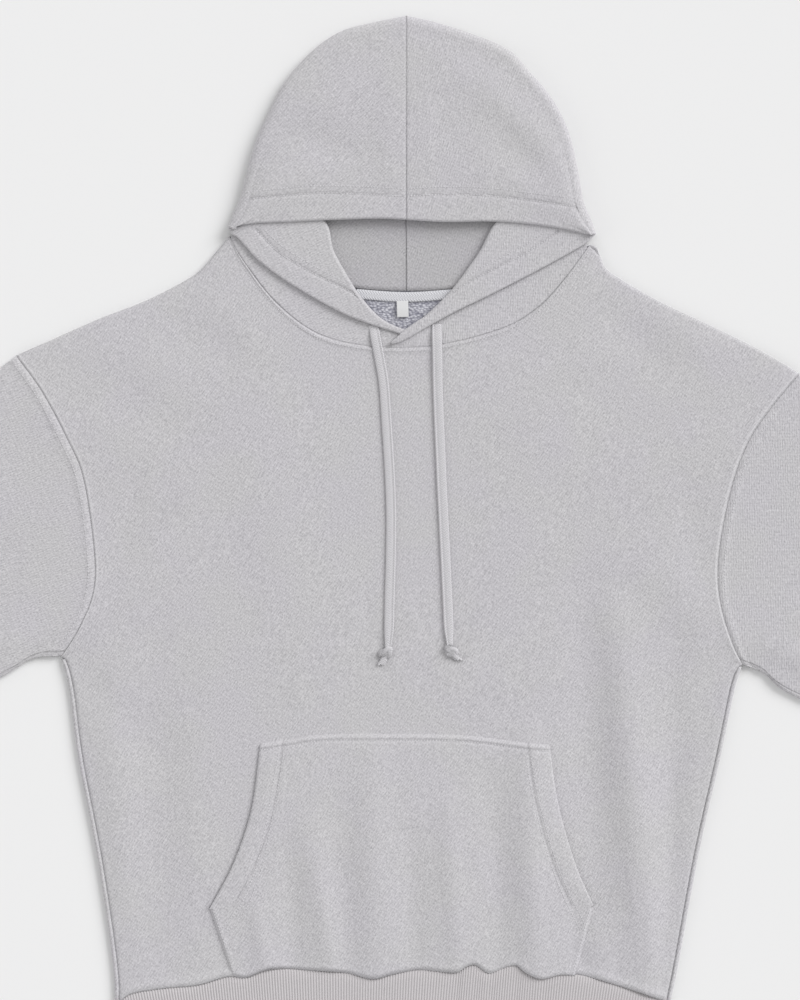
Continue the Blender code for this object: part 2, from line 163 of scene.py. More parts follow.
def ridges(gap, rows):
    # Cloth pressed down or raised beside an edge: each row's distance from the edge,
    # half width and height, in millimetres
    total = 0.0
    for distance, width, height in rows:
        total = total + 0.001 * height * bell(gap - 0.001 * distance, 0.001 * width)
    return total


def creaseHeight(x, y, creases):
    total = np.zeros(np.shape(x))
    for x0, y0, x1, y1, width, height in creases:
        start, run = mm((x0, y0)), mm((x1 - x0, y1 - y0))
        along = ((x - start[0]) * run[0] + (y - start[1]) * run[1]) / (run @ run)
        near = np.clip(along, 0, 1)
        gap = np.hypot(x - start[0] - near * run[0], y - start[1] - near * run[1])
        fading = 0.45 + 0.55 * np.sin(math.pi * near)
        total += 0.001 * height * bell(gap, 0.001 * width) * fading
    return total


foldedEdges = [
    smoothCurve(mm(cut["shoulderLeft"][::-1] + cut["sleeveTopLeft"][1:]), np.linspace(0, 1, 50)),
    smoothCurve(mm(cut["shoulderRight"] + cut["sleeveTopRight"][1:]), np.linspace(0, 1, 50)),
    smoothCurve(mm(cut["sideLeft"][:-1] + cut["sleeveUnderLeft"]), np.linspace(0, 1, 70)),
    smoothCurve(mm(cut["sideRight"][:-1] + cut["sleeveUnderRight"]), np.linspace(0, 1, 70)),
]

# Soft creases in the upper layer: start and end in millimetres, half width and height
bodyCreases = [
    (-290, 190, -180, 120, 24, 1.4),
    (-240, 215, -120, 160, 18, -1.0),
    (-330, 120, -210, 60, 28, 1.3),
    (-300, -90, -200, 0, 22, 1.6),
    (-312, -120, -230, -210, 20, -1.6),
    (-285, -60, -250, 60, 16, -1.1),
    (227, 237, 300, 180, 20, 1.25),
    (190, 215, 250, 160, 18, -1.4),
    (330, 110, 220, 50, 24, 1.3),
    (305, -95, 215, -10, 24, 1.8),
    (308, -135, 236, -240, 18, -1.8),
    (285, -40, 262, 60, 16, -1.1),
    (-150, 130, -90, -140, 36, 1.2),
    (120, 120, 90, -130, 38, 1.2),
    (-234, -114, -243, -390, 28, -2.0),
    (-200, -200, -196, -400, 18, 1.0),
    (170, -57, 180, -345, 24, -3.0),
    (200, -70, 232, -432, 20, 5.2),
    (256, -95, 250, -400, 12, -2.0),
    (-60, -60, 70, -140, 42, 0.8),
    (-32, -205, -28, -425, 17, 2.6),
    (-62, -250, -56, -425, 13, -1.4),
    (114, -186, 124, -425, 15, 3.4),
    (82, -228, 90, -425, 14, -2.4),
    (40, -250, 50, -428, 12, 2.4),
    (4, -280, 10, -428, 12, -1.9),
    (-92, -270, -66, -430, 12, 2.4),
    (-112, -294, -104, -425, 11, -1.9),
    (-146, -330, -128, -428, 10, 2.0),
    (158, -340, 168, -430, 11, -1.8),
    (190, -385, 186, -430, 8, 1.0),
    (-278, -130, -262, -400, 20, 1.6),
    (200, 190, 128, 150, 20, 1.25),
    (-186, 225, -120, 150, 20, 1.25),
    (60, 150, 200, 60, 40, 1.0),
    (-90, 110, -220, 20, 40, 1.0),
    (-400, 60, -520, -90, 26, 1.8),
    (-380, -20, -500, -140, 20, -1.4),
    (-360, -90, -420, -110, 12, 1.2),
    (-560, -80, -660, -200, 18, -1.4),
    (400, 40, 520, -100, 26, 1.8),
    (380, -40, 500, -150, 20, -1.4),
    (346, -100, 420, -135, 12, 1.8),
    (560, -90, 660, -205, 18, -1.4),
]


def foldGap(x, y):
    return np.min([distanceTo(line, x, y) for line in foldedEdges], axis=0)


def foldBulge(gap):
    # Half the thickness of the folded layers, round at the fold itself
    radius = clothSizes["foldRadius"]
    turn = radius - np.minimum(gap, radius)
    return np.sqrt(radius ** 2 - turn ** 2)


def loft(gap):
    return clothSizes["loft"] * (1 - np.exp(-gap / clothSizes["loftReach"]))


def upperHeight(x, y):
    # Top of the upper layer: round at the folded edges, creased in the middle
    gap = foldGap(x, y)
    settled = 1 - bell(gap, clothSizes["creaseReach"])
    creased = settled * creaseHeight(x, y, bodyCreases)
    return clothSizes["foldRadius"] + foldBulge(gap) + loft(gap) + creased


def lowerHeight(x, y):
    return clothSizes["foldRadius"] - foldBulge(foldGap(x, y))


def edgeGaps(plan):
    # Distance of each grid point from the first and last column, and the first and last row
    acrossSteps = np.linalg.norm(np.diff(plan[..., :2], axis=1), axis=2)
    upSteps = np.linalg.norm(np.diff(plan[..., :2], axis=0), axis=2)
    left = np.pad(np.cumsum(acrossSteps, axis=1), ((0, 0), (1, 0)))
    bottom = np.pad(np.cumsum(upSteps, axis=0), ((1, 0), (0, 0)))
    return left, left[:, -1:] - left, bottom, bottom[-1:] - bottom


def clothPiece(name, points, thickness, surface, gaps=None, mouth=None, facing=None):
    # A wall of cloth with its outer face on a grid of points. Each point keeps its
    # distance from the nearest seam and from the nearest free edge, for the stitched lines.
    # facing is a column of the grid that looks up; without it the middle one does.
    rows, columns = points.shape[:2]
    bm = bmesh.new()
    bmesh.ops.create_grid(bm, x_segments=columns - 1, y_segments=rows - 1, size=1)
    seamLayer = bm.verts.layers.float.new("seamGap")
    mouthLayer = bm.verts.layers.float.new("mouthGap")
    uvLayer = bm.loops.layers.uv.new("cloth")
    seams = np.full((rows, columns), 1.0) if gaps is None else gaps
    mouths = np.full((rows, columns), 1.0) if mouth is None else mouth
    bm.verts.ensure_lookup_table()
    runAcross, _, runUp, _ = edgeGaps(points)
    places = points.reshape(-1, 3)
    uvs = np.stack([runAcross.ravel(), runUp.ravel()], axis=1)
    for vertex, place, seam, free in zip(bm.verts, places, seams.ravel(), mouths.ravel()):
        vertex.co = place
        vertex[seamLayer] = seam
        vertex[mouthLayer] = free
    bm.verts.index_update()
    for face in bm.faces:
        face.smooth = True
        for loop in face.loops:
            loop[uvLayer].uv = uvs[loop.vert.index]
    bmesh.ops.remove_doubles(bm, verts=bm.verts, dist=0.00001)
    bm.normal_update()
    bm.faces.ensure_lookup_table()
    column = columns // 2 if facing is None else facing
    if bm.faces[(columns - 1) * (rows // 2) + column].normal.z < 0:
        bmesh.ops.reverse_faces(bm, faces=bm.faces)
    mesh = bpy.data.meshes.new(name)
    bm.to_mesh(mesh)
    bm.free()
    piece = bpy.data.objects.new(name, mesh)
    bpy.context.scene.collection.objects.link(piece)
    mesh.materials.append(surface)
    if thickness:
        wall = piece.modifiers.new("wall", "SOLIDIFY")
        wall.thickness = thickness
        wall.offset = -1
    return piece


def settle(piece, slot, *nodes):
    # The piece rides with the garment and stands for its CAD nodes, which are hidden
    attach(piece, "root")
    if nodes:
        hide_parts(*nodes)


def shaderNodes(name):
    surface = bpy.data.materials.new(name)
    surface.use_nodes = True
    graph = surface.node_tree
    return surface, graph, graph.nodes["Principled BSDF"]


def feed(graph, socket, value):
    # Links a node's output to a socket, or sets the socket to a number or a colour
    if hasattr(value, "is_linked"):
        graph.links.new(value, socket)
    elif isinstance(value, tuple):
        socket.default_value = (*value, 1)
    elif value is not None:
        socket.default_value = value


def mathNode(graph, operation, first, second=None, clamp=False):
    node = graph.nodes.new("ShaderNodeMath")
    node.operation = operation
    node.use_clamp = clamp
    feed(graph, node.inputs[0], first)
    feed(graph, node.inputs[1], second)
    return node.outputs[0]


def mixColour(graph, share, first, second, blend="MIX"):
    node = graph.nodes.new("ShaderNodeMix")
    node.data_type = "RGBA"
    node.blend_type = blend
    for index, value in ((0, share), (6, first), (7, second)):
        feed(graph, node.inputs[index], value)
    return node.outputs[2]


def addUp(graph, *values):
    total = values[0]
    for value in values[1:]:
        total = mathNode(graph, "ADD", total, value)
    return total


def noiseNode(graph, place, scale, detail):
    node = graph.nodes.new("ShaderNodeTexNoise")
    node.inputs["Scale"].default_value = scale
    node.inputs["Detail"].default_value = detail
    graph.links.new(place, node.inputs["Vector"])
    return node.outputs["Fac"]


def objectPlace(graph):
    return graph.nodes.new("ShaderNodeTexCoord").outputs["Object"]


def turnedPlace(graph, place, degrees, scale=(1, 1, 1)):
    node = graph.nodes.new("ShaderNodeMapping")
    node.inputs["Scale"].default_value = scale
    node.inputs["Rotation"].default_value[2] = math.radians(degrees)
    graph.links.new(place, node.inputs["Vector"])
    return node.outputs[0]


def splitPlace(graph, place):
    node = graph.nodes.new("ShaderNodeSeparateXYZ")
    graph.links.new(place, node.inputs[0])
    return node.outputs[0], node.outputs[1]


def clothPlace(graph):
    # Metres across and along the piece, from its own UV map
    node = graph.nodes.new("ShaderNodeUVMap")
    node.uv_map = "cloth"
    return splitPlace(graph, node.outputs[0])


def sinePattern(graph, coordinate, period):
    angle = mathNode(graph, "MULTIPLY", coordinate, 2 * math.pi / period)
    return mathNode(graph, "SINE", angle)


def attributeLine(graph, name, distance, width):
    # 1 on a line that runs at a distance from a seam or an edge, 0 away from it
    source = graph.nodes.new("ShaderNodeAttribute")
    source.attribute_name = name
    away = mathNode(graph, "SUBTRACT", source.outputs["Fac"], distance)
    share = mathNode(graph, "DIVIDE", away, width)
    square = mathNode(graph, "MULTIPLY", share, share)
    return mathNode(graph, "EXPONENT", mathNode(graph, "MULTIPLY", square, -1.0))


def finishSurface(graph, shader, colour, height, roughness, specular=0.5):
    graph.links.new(colour, shader.inputs["Base Color"])
    bump = graph.nodes.new("ShaderNodeBump")
    bump.inputs["Distance"].default_value = 1.0
    graph.links.new(height, bump.inputs["Height"])
    graph.links.new(bump.outputs[0], shader.inputs["Normal"])
    shader.inputs["Roughness"].default_value = roughness
    shader.inputs["Specular IOR Level"].default_value = specular


knitFinish = {
    "light": (0.640, 0.630, 0.643),
    "dark": (0.400, 0.393, 0.407),
    "wanderScale": 260,
    "wander": 0.0022,         # how far the knit's lines stray
    "grainPeriod": 0.0023,    # between the diagonal lines of the knit face
    "crossPeriod": 0.0031,
    "crossShare": 0.55,
    "grainTurn": 57,          # degrees, from lower left to upper right
    "grainHeight": 0.00010,
    "streakScale": (300, 900, 900),     # along the grain, then across it
    "fuzzScale": 620,
    "fuzzHeight": 0.00024,
    "toneShares": (0.09, 1.3, 0.8),     # of the weave, the streaks and the fuzz
    "tintScale": 16,
    "tintRange": (0.38, 0.62, 0.5),     # noise where it starts and ends, most tint
    "tint": (0.99, 0.975, 1.02),
    # painted shade for grooves and a painted highlight for raised ridges, mixed in along the lines
    "paintedGrooveShade": (0.16, 0.155, 0.17),
    "paintedRidgeHighlight": (0.80, 0.79, 0.81),
    # painted shade that darkens the hood's lining, the same cloth, for its shadowed inside
    "liningPaintedShade": 0.86,
    "roughness": 0.95,
    "specular": 0.15,
    "sheen": (0.25, 0.6),               # weight and roughness
}
# Lines: attribute, distance from it, half width, depth and painted groove shade.
# A raised line, with a painted highlight instead, has the last two below zero.
seamGroove = ("seamGap", 0.0, 0.0010, 0.0004, 0.07)
seamRidge = ("mouthGap", 0.0023, 0.0014, -0.0003, -0.25)


def knitSurface(name, turn=0.0, lines=(), paintedShade=1.0):
    # The outer face: fine diagonal grain, short nap, a faint tint that wanders; the last argument
    # darkens it all as painted shade, and its lines add painted groove shade or painted ridge
    # highlights
    finish = knitFinish
    surface, graph, shader = shaderNodes(name)
    place = objectPlace(graph)
    turned = turnedPlace(graph, place, turn - finish["grainTurn"])
    wander = noiseNode(graph, turned, finish["wanderScale"], 1)
    shift = mathNode(graph, "MULTIPLY", wander, finish["wander"])
    along, across = splitPlace(graph, turned)
    bands = sinePattern(graph, mathNode(graph, "ADD", across, shift), finish["grainPeriod"])
    beads = sinePattern(graph, mathNode(graph, "ADD", along, shift), finish["crossPeriod"])
    weave = mathNode(graph, "ADD", bands, mathNode(graph, "MULTIPLY", beads, finish["crossShare"]))
    stretched = graph.nodes.new("ShaderNodeVectorMath")
    stretched.operation = "MULTIPLY"
    stretched.inputs[1].default_value = finish["streakScale"]
    graph.links.new(turned, stretched.inputs[0])
    streak = noiseNode(graph, stretched.outputs[0], 1, 1)
    fuzz = noiseNode(graph, place, finish["fuzzScale"], 1)
    centred = [weave, mathNode(graph, "SUBTRACT", streak, 0.5), mathNode(graph, "SUBTRACT", fuzz, 0.5)]
    tones = [mathNode(graph, "MULTIPLY", value, share)
             for value, share in zip(centred, finish["toneShares"])]
    share = mathNode(graph, "ADD", addUp(graph, *tones), 0.5, clamp=True)
    dark, light = (tuple(paintedShade * v for v in finish[key]) for key in ("dark", "light"))
    start, end, most = finish["tintRange"]
    warm = graph.nodes.new("ShaderNodeMapRange")
    warm.inputs["From Min"].default_value = start
    warm.inputs["From Max"].default_value = end
    warm.inputs["To Max"].default_value = most
    graph.links.new(noiseNode(graph, place, finish["tintScale"], 2), warm.inputs["Value"])
    colour = mixColour(graph, warm.outputs[0], mixColour(graph, share, dark, light),
                       finish["tint"], "MULTIPLY")
    heights = [mathNode(graph, "MULTIPLY", weave, 0.5 * finish["grainHeight"]),
               mathNode(graph, "MULTIPLY", streak, finish["fuzzHeight"]),
               mathNode(graph, "MULTIPLY", fuzz, finish["fuzzHeight"])]
    # each line's bump is real; its darker or paler colour is painted groove shade or a painted ridge
    # highlight
    for attribute, distance, width, depth, darken in lines:
        line = attributeLine(graph, attribute, distance, width)
        heights.append(mathNode(graph, "MULTIPLY", line, -depth))
        tone = finish["paintedGrooveShade"] if darken > 0 else finish["paintedRidgeHighlight"]
        colour = mixColour(graph, mathNode(graph, "MULTIPLY", line, abs(darken)), colour, tone)
    finishSurface(graph, shader, colour, addUp(graph, *heights), finish["roughness"],
                  finish["specular"])
    shader.inputs["Sheen Weight"].default_value = finish["sheen"][0]
    shader.inputs["Sheen Roughness"].default_value = finish["sheen"][1]
    return surface


loopFinish = {
    "light": (0.74, 0.74, 0.79),
    "dark": (0.23, 0.23, 0.28),
    "scale": (330, 560, 400),
    "turn": -12,
    "randomness": 0.75,
    "spread": 1.35,
    "grainScale": 500,
    "grainShare": 0.5,
    "lift": 0.30,
    "depth": 0.0005,
}


def loopSurface(name):
    # The inner face: rows of small loops, with painted shade between them
    finish = loopFinish
    surface, graph, shader = shaderNodes(name)
    place = objectPlace(graph)
    loops = graph.nodes.new("ShaderNodeTexVoronoi")
    loops.inputs["Scale"].default_value = 1
    loops.inputs["Randomness"].default_value = finish["randomness"]
    graph.links.new(turnedPlace(graph, place, finish["turn"], finish["scale"]),
                    loops.inputs["Vector"])
    grain = mathNode(graph, "MULTIPLY", noiseNode(graph, place, finish["grainScale"], 2),
                     finish["grainShare"])
    gap = mathNode(graph, "MULTIPLY", loops.outputs["Distance"], finish["spread"])
    share = mathNode(graph, "SUBTRACT", mathNode(graph, "ADD", grain, gap), finish["lift"], clamp=True)
    finishSurface(graph, shader, mixColour(graph, share, finish["light"], finish["dark"]),
                  mathNode(graph, "MULTIPLY", gap, -finish["depth"]), 0.95, 0.15)
    return surface


yarnFinish = {"height": 0.00012, "courseShare": 0.3, "courseHeight": 0.0001, "slant": 0.0024}


def yarnSurface(name, light, dark, scale, roughness=0.85, course=0.0):
    # course is the spacing of fine rows across the piece, if it has them
    surface, graph, shader = shaderNodes(name)
    share = noiseNode(graph, objectPlace(graph), scale, 2)
    height = mathNode(graph, "MULTIPLY", share, yarnFinish["height"])
    if course:
        across, along = clothPlace(graph)
        slanted = mathNode(graph, "PINGPONG", across, yarnFinish["slant"])
        rows = sinePattern(graph, mathNode(graph, "ADD", along, slanted), course)
        paler = mathNode(graph, "MULTIPLY", rows, yarnFinish["courseShare"])
        share = mathNode(graph, "ADD", share, paler, clamp=True)
        raised = mathNode(graph, "MULTIPLY", rows, yarnFinish["courseHeight"])
        height = mathNode(graph, "ADD", height, raised)
    finishSurface(graph, shader, mixColour(graph, share, dark, light), height, roughness, 0.2)
    return surface


threadSurface = yarnSurface("stitchThread", (0.74, 0.73, 0.75), (0.58, 0.57, 0.59), 900)
ribSurface = yarnSurface("ribKnit", (0.600, 0.575, 0.585), (0.485, 0.465, 0.475), 1100, 0.95)
labelSurface = yarnSurface("plainLabel", (0.74, 0.74, 0.74), (0.66, 0.66, 0.67), 1300)
cordSurface = yarnSurface("cordKnit", (0.68, 0.67, 0.69), (0.47, 0.46, 0.48), 800, 0.9, 0.0024)

tapeFinish = {
    "dark": (0.57, 0.57, 0.60),
    "light": (0.70, 0.70, 0.73),
    "fold": 0.0028,
    "period": 0.0026,
    "height": 0.00015,
}


def tapeSurface(name):
    # Herringbone: slanted lines that change hand along the tape
    finish = tapeFinish
    surface, graph, shader = shaderNodes(name)
    across, along = clothPlace(graph)
    slanted = mathNode(graph, "ADD", across, mathNode(graph, "PINGPONG", along, finish["fold"]))
    lines = sinePattern(graph, slanted, finish["period"])
    share = mathNode(graph, "ADD", mathNode(graph, "MULTIPLY", lines, 0.5), 0.5, clamp=True)
    finishSurface(graph, shader, mixColour(graph, share, finish["dark"], finish["light"]),
                  mathNode(graph, "MULTIPLY", lines, finish["height"]), 0.9)
    return surface


print("hoodie: finishes made")

upBreaks = (0, 0.55, 1)
acrossBreaks = (0, 0.27, 0.73, 1)
bodyGrid = {"side": 70, "armhole": 64, "shoulder": 36, "neck": 84}
backGrid = {"side": 40, "armhole": 36, "shoulder": 20, "neck": 60}
backPast = 0.0015             # how far the back passes the front's side seams
frontRidges = {               # distance from the seam, half width and height, in millimetres
    "armhole": ((0, 2.0, -0.3), (4.5, 3.0, 0.4)),
    "neck": ((0, 1.4, -0.6), (3.2, 1.8, 0.8)),
    "hem": ((0, 2.0, -0.5), (4.0, 3.5, 1.2)),
    "neckShare": 0.23,        # of the front's width, to each side of its middle
}


def panelPlan(sides, neck, grid, shift=0.0):
    up = easedShares(upBreaks, (grid["side"], grid["armhole"]))
    across = easedShares(acrossBreaks, (grid["shoulder"], grid["neck"], grid["shoulder"]))
    left = joinedCurves([mm(sides[0]) - (shift, 0), mm(cut["armholeLeft"])], upBreaks, up)
    right = joinedCurves([mm(sides[1]) + (shift, 0), mm(cut["armholeRight"])], upBreaks, up)
    top = joinedCurves([mm(cut["shoulderLeft"]), mm(neck), mm(cut["shoulderRight"])],
                       acrossBreaks, across)
    bottom = smoothCurve(mm(cut["hem"]), across)
    bottom[0], bottom[-1] = left[0], right[0]
    left[-1], right[-1] = top[0], top[-1]
    return patch(bottom, top, left, right, across, up), across, up


def bodyFront():
    sides = (cut["sideLeft"], cut["sideRight"])
    plan, across, up = panelPlan(sides, cut["neckFront"], bodyGrid)
    left, right, bottom, top = edgeGaps(plan)
    sewnSides = np.minimum(left, right)
    armhole = np.where(up[:, None] > upBreaks[1], sewnSides, 1.0)
    neck = np.where(abs(across[None] - 0.5) < frontRidges["neckShare"], top, 1.0)
    height = upperHeight(plan[..., 0], plan[..., 1])
    for gap, name in ((armhole, "armhole"), (neck, "neck"), (bottom, "hem")):
        height += ridges(gap, frontRidges[name])
    height = np.maximum(height, backTop + clothSizes["knit"] + clothSizes["lyingGap"])
    piece = clothPiece("bodyFront", np.dstack([plan, height]), clothSizes["knit"],
                       knitSurface("knitFront", lines=[seamGroove, seamRidge]),
                       np.minimum(sewnSides, np.minimum(bottom, top)), armhole)
    settle(piece, "loopback_knit", "body_front")


def bodyBack():
    # Loops on its upper, inner face; plain knit below and round its edges
    sides = (cut["sideLeft"], cut["sideRight"])
    plan = panelPlan(sides, cut["neckBack"], backGrid, backPast)[0]
    height = np.full(plan.shape[:2], backTop)
    piece = clothPiece("bodyBack", np.dstack([plan, height]), clothSizes["knit"],
                       loopSurface("loopSide"))
    piece.data.materials.append(knitSurface("knitBack"))
    piece.modifiers["wall"].material_offset = 1
    piece.modifiers["wall"].material_offset_rim = 1
    settle(piece, "loopback_knit", "body_back")


# The back's cloth comes round each side and meets the front on top, at the side seam
sideWrap = {
    "reach": 0.0040,
    "tuck": 0.0006,           # how far its upper edge goes in over the front
    "drop": 0.0010,
    "under": 0.0002,
    "thickness": 0.0011,
    "rows": 70,
    "turns": 14,
}


def backWrap(name, side, sign):
    line = smoothCurve(mm(cut[side]), np.linspace(0, 1, sideWrap["rows"]))
    radius = clothSizes["foldRadius"]
    middle = line + (sign * (sideWrap["reach"] - radius), 0)
    rows = []
    for seam, centre in zip(line, middle):
        row = [(seam[0] - sign * sideWrap["tuck"], seam[1], 2 * radius - sideWrap["drop"])]
        for turn in np.linspace(0.5 * math.pi, -0.5 * math.pi, sideWrap["turns"]):
            row.append((centre[0] + sign * radius * math.cos(turn), centre[1],
                        radius + radius * math.sin(turn)))
        row.append((seam[0] + sign * sideWrap["under"], seam[1], 0.0))
        rows.append(row)
    points = np.array(rows)
    piece = clothPiece(name, points, sideWrap["thickness"],
                       knitSurface(name + "Knit", lines=[seamGroove]), edgeGaps(points)[0], facing=1)
    settle(piece, "loopback_knit")


bodyFront()
bodyBack()
backWrap("sideWrapLeft", "sideLeft", -1)
backWrap("sideWrapRight", "sideRight", 1)
print("hoodie: body made")

sleeveCut = {
    "around": 64,
    "along": 90,
    "seamGap": 0.0002,
    "leastGap": 0.0030,       # between the layers
    "armhole": ((0, 2.0, -0.3), (5.5, 3.0, 0.8)),
    "cuff": ((0, 4.0, -1.4),),
    "turn": 34,               # degrees that the knit turns with the sleeve
    # a groove beside the under seam, with painted shade in it
    "underLine": ("mouthGap", 0.0052, 0.0012, 0.0006, 0.16),
}
cuffSizes = {"depth": 0.062, "halfWidths": (0.056, 0.050), "slope": math.radians(34), "rows": 16,
             "gap": 0.0004, "fineColumns": 6}
hemSizes = {"width": 0.530, "rows": 14, "gap": 0.0002, "fineColumns": 5}
ribSizes = {"period": 0.0026, "height": 0.00042, "seam": ((0, 2.5, -1.0),), "end": ((0, 1.5, -1.0),),
            "endFade": 0.0015}


def foldedRing(plan, above, below, foldHeight):
    above[:, (0, -1)] = foldHeight
    below[:, (0, -1)] = foldHeight
    upper = np.dstack([plan, above])
    lower = np.dstack([plan, below])
    return np.concatenate([upper, lower[:, -2::-1]], axis=1)


def mirroredGaps(gaps):
    return np.concatenate([gaps, gaps[:, -2::-1]], axis=1)


def sleeve(side, sign):
    armhole, topEdge, underEdge = (cut[key + side] for key in ("armhole", "sleeveTop", "sleeveUnder"))
    around = easedShares((0, 1), (sleeveCut["around"],), 0.95)
    along = easedShares((0, 1), (sleeveCut["along"],))
    start = smoothCurve(mm(armhole), around) - (sign * sleeveCut["seamGap"], 0)
    under = smoothCurve(mm(underEdge), along)
    top = smoothCurve(mm(topEdge), along)
    under[0], top[0] = start[0], start[-1]
    end = under[-1] + (top[-1] - under[-1]) * around[:, None]
    plan = patch(start, end, under, top, around, along)
    above = upperHeight(plan[..., 0], plan[..., 1])
    below = lowerHeight(plan[..., 0], plan[..., 1])
    fromUnder, _, fromArmhole, fromCuff = edgeGaps(plan)
    above += ridges(fromArmhole, sleeveCut["armhole"]) + ridges(fromCuff, sleeveCut["cuff"])
    above = np.maximum(above, below + sleeveCut["leastGap"])
    ring = foldedRing(plan, above, below, clothSizes["foldRadius"])
    gaps = mirroredGaps(np.minimum(fromArmhole, fromCuff))
    underSeam = mirroredGaps(fromUnder)
    surface = knitSurface("knitSleeve" + side, -sign * sleeveCut["turn"],
                          [seamGroove, sleeveCut["underLine"]])
    piece = clothPiece("sleeve" + side, ring, clothSizes["knit"], surface, gaps, underSeam,
                       facing=ring.shape[1] // 4)
    settle(piece, "loopback_knit", "sleeve_" + side.lower())


def ribbedTube(name, plan, fineColumns, node):
    # A flattened rib tube with its own folds at both sides; the ribs run along it
    radius = clothSizes["foldRadius"]
    gap = np.minimum(np.linalg.norm(plan - plan[:, :1], axis=2),
                     np.linalg.norm(plan - plan[:, -1:], axis=2))
    bulge = foldBulge(gap)
    _, _, fromSeam, fromEnd = edgeGaps(plan)
    ribs = ribSizes["height"] * np.cos(2 * math.pi * np.arange(plan.shape[1]) / fineColumns)[None]
    fade = 1 - bell(fromEnd, ribSizes["endFade"])
    above = radius + bulge + loft(gap) + ribs * fade
    above += ridges(fromSeam, ribSizes["seam"]) + ridges(fromEnd, ribSizes["end"])
    below = np.maximum(radius - bulge - 0.5 * ribs * bulge / radius, 0)
    ring = foldedRing(plan, above, below, radius)
    piece = clothPiece(name, ring, clothSizes["rib"], ribSurface, mirroredGaps(fromSeam),
                       facing=ring.shape[1] // 4)
    settle(piece, "rib_knit", node)


def cuff(side, sign):
    middle = 0.5 * (mm(cut["sleeveTop" + side][-1]) + mm(cut["sleeveUnder" + side][-1]))
    slope = cuffSizes["slope"]
    run = np.array([sign * math.cos(slope), -math.sin(slope)])
    across = np.array([sign * math.sin(slope), math.cos(slope)])
    wide, narrow = cuffSizes["halfWidths"]
    fine = cuffSizes["fineColumns"]
    shares = np.linspace(0, 1, round(2 * wide / ribSizes["period"]) * fine + 1)
    rows = []
    for share in easedShares((0, 1), (cuffSizes["rows"],)):
        half = narrow + (wide - narrow) * math.exp(-6 * share)
        centre = middle + run * (cuffSizes["gap"] + cuffSizes["depth"] * share)
        rows.append(centre + across * half * (2 * shares[:, None] - 1))
    ribbedTube("cuff" + side, np.array(rows), fine, "cuff_" + side.lower())


def hemRib():
    fine = hemSizes["fineColumns"]
    across = np.linspace(0, 1, round(hemSizes["width"] / ribSizes["period"]) * fine + 1)
    top = smoothCurve(mm(cut["hem"]), across) + (0, hemSizes["gap"])
    bottom = smoothCurve(mm(cut["ribEnd"]), across)
    rows = [top + (bottom - top) * share for share in easedShares((0, 1), (hemSizes["rows"],))]
    ribbedTube("hemRib", np.array(rows), fine, "hem_rib")


for side, sign in (("Left", -1), ("Right", 1)):
    sleeve(side, sign)
    cuff(side, sign)
hemRib()
print("hoodie: sleeves and ribs made")

pocketCut = {
    "top": [(-138, -192), (-110, -188), (-77, -183.5), (0, -183), (50, -184), (81, -187),
            (110, -191), (136, -193.5)],
    "left": [(-166, -411), (-186, -349), (-163, -305), (-146, -253), (-138, -192)],
    "right": [(161, -414), (178, -347), (160, -305), (144, -248), (136, -193.5)],
    "sewnShare": 0.28,        # of each side, from the hem up to the mouth's lower end
    "across": 110,
    "up": (30, 76),
    "rise": 0.0023,
    "sewnEdge": ((0, 2.4, -2.2), (3.5, 2.2, 0.5)),
    "topRow": ((6.6, 1.1, -1.0),),
    "mouthEdge": ((10, 10, 0.9), (21.5, 1.5, -0.6), (0, 1.0, -0.8)),
    # the pocket's stitched hem row: a groove with painted shade in it
    "hemLine": ("mouthGap", 0.0215, 0.0012, 0.0003, 0.12),
}


def pocketPlan():
    breaks = (0, pocketCut["sewnShare"], 1)
    across = easedShares((0, 1), (pocketCut["across"],), 0.9)
    up = easedShares(breaks, pocketCut["up"])
    left = joinedCurves([mm(pocketCut["left"][:2]), mm(pocketCut["left"][1:])], breaks, up)
    right = joinedCurves([mm(pocketCut["right"][:2]), mm(pocketCut["right"][1:])], breaks, up)
    hem = smoothCurve(mm(cut["hem"]), np.linspace(0, 1, 400))
    bottomX = left[0, 0] + (right[0, 0] - left[0, 0]) * across
    bottom = np.stack([bottomX, np.interp(bottomX, hem[:, 0], hem[:, 1])], axis=1)
    left[0], right[0] = bottom[0], bottom[-1]
    top = smoothCurve(mm(pocketCut["top"]), across)
    return patch(bottom, top, left, right, across, up), across, up


def pocket():
    plan, across, up = pocketPlan()
    left, right, bottom, top = edgeGaps(plan)
    sides = np.minimum(left, right)
    low = up[:, None] < pocketCut["sewnShare"]
    mouthShare = 1 / (1 + np.exp(-(up - pocketCut["sewnShare"] - 0.02) / 0.012))[:, None]
    sewn = np.minimum(np.minimum(bottom, top), np.where(low, sides, 1.0))
    free = np.where(low, 1.0, sides)
    liftUp = np.sin(math.pi * up)[:, None] ** 0.7
    liftAcross = (0.45 + 0.55 * np.sin(math.pi * across))[None]
    height = upperHeight(plan[..., 0], plan[..., 1]) + clothSizes["lyingGap"] + clothSizes["knit"]
    height += pocketCut["rise"] * liftUp * liftAcross
    height += ridges(sides, pocketCut["mouthEdge"]) * mouthShare
    height += ridges(sewn, pocketCut["sewnEdge"]) + ridges(top, pocketCut["topRow"])
    surface = knitSurface("knitPocket", lines=[seamGroove, pocketCut["hemLine"]])
    piece = clothPiece("frontPocket", np.dstack([plan, height]), clothSizes["pocket"], surface,
                       sewn, free)
    settle(piece, "loopback_knit", "pocket")


pocket()
print("hoodie: pocket made")

